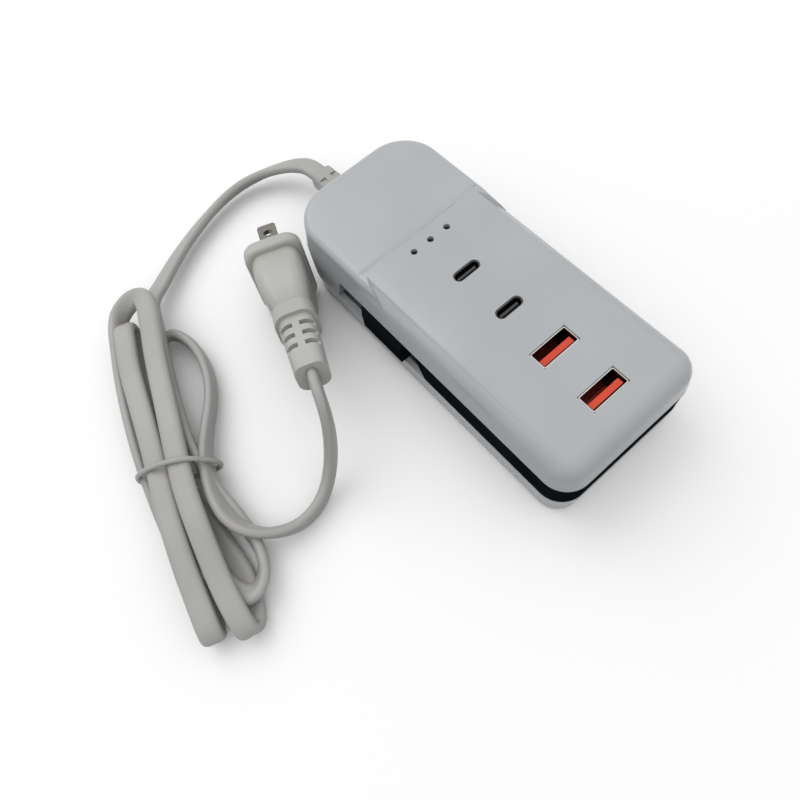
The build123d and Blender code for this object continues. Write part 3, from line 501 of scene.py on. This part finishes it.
def smooth_line(name, points, steps=6):
    """The points of the smooth NURBS line that a list of control points draws."""
    curve = bpy.data.curves.new(name, "CURVE")
    curve.dimensions = "3D"
    spline = curve.splines.new("NURBS")
    spline.points.add(len(points) - 1)
    for control, point in zip(spline.points, points):
        control.co = (*point, 1.0)
    spline.order_u = 3
    spline.use_endpoint_u = True
    spline.resolution_u = steps
    holder = bpy.data.objects.new(name, curve)
    bpy.context.scene.collection.objects.link(holder)
    bpy.context.view_layer.update()
    mesh = bpy.data.meshes.new_from_object(holder.evaluated_get(bpy.context.evaluated_depsgraph_get()))
    line = [vertex.co.copy() for vertex in mesh.vertices]
    bpy.data.objects.remove(holder)
    bpy.data.meshes.remove(mesh)
    return line


wide = width_directions(route)
centre_line = smooth_line("cord_route", [point for point, lean in route])
edge_points = [point + side * cord_width / 2 for (point, lean), side in zip(route, wide)]
flat_line = smooth_line("cord_flat", edge_points)


# %% [markdown]
# The cord's skin: the same flat section is set at each point of the line, across the direction of the
# width, and neighbouring sections are joined by faces. Two round cores in one jacket give a section that is
# flat on top with round edges and a shallow groove between the cores.

# %% Cord skin
section_steps = 24
groove = 0.10
groove_reach = 0.35
squareness = 0.75


def twin_section(turn):
    """The jacket's outline at an angle: across the width and across the thickness."""
    across = abs(cos(turn)) ** squareness * (1 if cos(turn) > 0 else -1)
    through = abs(sin(turn)) ** squareness * (1 if sin(turn) > 0 else -1)
    dip = 1 - groove * max(0.0, 1 - abs(across) / groove_reach) ** 2
    return across * cord_width / 2, through * cord_thickness / 2 * dip


skin = bmesh.new()
rings = []
for i, point in enumerate(centre_line):
    tangent = (centre_line[min(i + 1, len(centre_line) - 1)] - centre_line[max(i - 1, 0)]).normalized()
    width_way = flat_line[i] - point
    width_way = (width_way - tangent * width_way.dot(tangent)).normalized()
    face_way = tangent.cross(width_way)
    ring = []
    for k in range(section_steps):
        across, through = twin_section(2 * pi * k / section_steps)
        ring.append(skin.verts.new(point + width_way * across + face_way * through))
    rings.append(ring)
for ring, following in zip(rings, rings[1:]):
    for k in range(section_steps):
        after = (k + 1) % section_steps
        skin.faces.new((ring[k], ring[after], following[after], following[k]))
skin.faces.new(list(reversed(rings[0])))
skin.faces.new(rings[-1])
bmesh.ops.recalc_face_normals(skin, faces=skin.faces)
cord_mesh = bpy.data.meshes.new("mains_cord")
skin.to_mesh(cord_mesh)
skin.free()
cord_mesh.materials.append(cord_vinyl)
cord = bpy.data.objects.new("mains_cord", cord_mesh)
bpy.context.scene.collection.objects.link(cord)
for polygon in cord_mesh.polygons:
    polygon.use_smooth = True
print("cord faces:", len(cord_mesh.polygons))

# %% [markdown]
# A thin vinyl wire ties the hank. It goes once round the turns where they lie closest, so it is a closed
# loop that leans on the outermost strands.

# %% Tie
tie_wire = 1.6 * MM
tie_along = 68.4
tie_lean = 3.2
tie_half_width = 12
tie_points = [(-14.6, 6.8), (-13.2, 11.6), (-8.4, 15.2), (-2.0, 16.9), (3.4, 16.5), (6.6, 12.9), (9.8, 9.6),
              (9.8, 4.6), (5.0, 2.0), (-1.0, 1.0), (-8.0, 1.0), (-13.4, 2.4)]
tie_curve = bpy.data.curves.new("hank_tie", "CURVE")
tie_curve.dimensions = "3D"
tie_spline = tie_curve.splines.new("NURBS")
tie_spline.points.add(len(tie_points) - 1)
for control, (across, height) in zip(tie_spline.points, tie_points):
    along = tie_along + tie_lean * across / tie_half_width
    control.co = (*(in_hank(along, across, height) * MM), 1.0)
tie_spline.order_u = 4
tie_spline.use_cyclic_u = True
tie_spline.resolution_u = 8
tie_curve.bevel_depth = tie_wire / 2
tie_curve.bevel_resolution = 5
tie = bpy.data.objects.new("hank_tie", tie_curve)
bpy.context.scene.collection.objects.link(tie)
bpy.ops.object.select_all(action="DESELECT")
tie.select_set(True)
bpy.context.view_layer.objects.active = tie
bpy.ops.object.convert(target="MESH")
bpy.ops.object.shade_smooth()
tie.data.materials.clear()
tie.data.materials.append(cord_vinyl)
print("tie faces:", len(tie.data.polygons))

# %% [markdown]
# The cord and its tie ride on the housing and stand for the plain solids that the imported model has in their
# place.

# %% What rides and what it stands for
for piece in (cord, tie):
    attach(piece, "housing")
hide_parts("cord_lead_in", "cord_side_loop", "cord_plug_lead", "cord_hank")
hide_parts("cord_tie")
print("riding on the housing:", cord.name, "and", tie.name)

# %% [markdown]
# The picture was taken on a white table under broad soft light from above and behind, so tops are bright
# and walls dark. The floor is a plain plane. A white table would throw much light back up at the walls, so
# the floor is white for the eye and for reflections, and a middle grey for the light that it bounces.

# %% Floor
floor_size = 6.0
floor_bounce = "#9A9A9A"
floor_white = "#F8F8F8"
bpy.ops.object.select_all(action="DESELECT")
bpy.ops.mesh.primitive_plane_add(size=floor_size, location=(0, 0, 0))
floor = bpy.context.object
floor.name = "floor"
floor_paint, floor_shader = new_material("white_table_paint")
paint = add_node(floor_paint, "ShaderNodeMix",
                 {"data_type": "RGBA", 6: linear(floor_bounce), 7: linear(floor_white)},
                 {0: seen_directly(floor_paint)})
join(floor_paint, paint.outputs[2], floor_shader, "Base Color")
floor_shader.inputs["Roughness"].default_value = 0.9
floor_shader.inputs["Specular IOR Level"].default_value = 0.1
floor.data.materials.append(floor_paint)
print("floor:", tuple(floor.dimensions))

# %% [markdown]
# One large soft lamp stands behind and above the case. The rest of the light is the room: a world that is
# bright overhead and dark towards the horizon, so that tops are light and walls dark. To the eye and in
# reflections the world is plain white, like the table.

# %% Light and world
lamp_at = (-0.15, 0.70, 0.85)
lamp_aim = Vector((-0.03, 0, 0.02))
strength_at_horizon = 0.15
strength_overhead = 1.3
strength_seen = 1.0

lamp_light = bpy.data.lights.new("back_lamp", "AREA")
lamp_light.shape = "SQUARE"
lamp_light.size = 0.9
lamp_light.energy = 3
lamp = bpy.data.objects.new("back_lamp", lamp_light)
lamp.location = lamp_at
lamp.rotation_euler = (lamp_aim - lamp.location).to_track_quat("-Z", "Y").to_euler()
bpy.context.scene.collection.objects.link(lamp)

world = bpy.data.worlds.new("studio")
world.use_nodes = True
sky = world.node_tree.nodes["Background"]
sky.inputs["Color"].default_value = linear("#FFFFFF")
way = add_node(world, "ShaderNodeTexCoord")
parts = add_node(world, "ShaderNodeSeparateXYZ", links={"Vector": way.outputs["Generated"]})
height = add_node(world, "ShaderNodeMapRange",
                  {"From Min": 0.0, "From Max": 1.0,
                   "To Min": strength_at_horizon, "To Max": strength_overhead},
                  {"Value": parts.outputs["Z"]})
level = add_node(world, "ShaderNodeMix", {"data_type": "FLOAT", 3: strength_seen},
                 {0: seen_directly(world), 2: height.outputs["Result"]})
world.node_tree.links.new(level.outputs[0], sky.inputs["Strength"])
bpy.context.scene.world = world
bpy.context.scene.view_settings.view_transform = "Standard"
print("lamp:", lamp_light.energy, "W,", lamp_light.size, "m wide")

# %% [markdown]
# Last, the end of the lesson.

# %% The end
print("done")
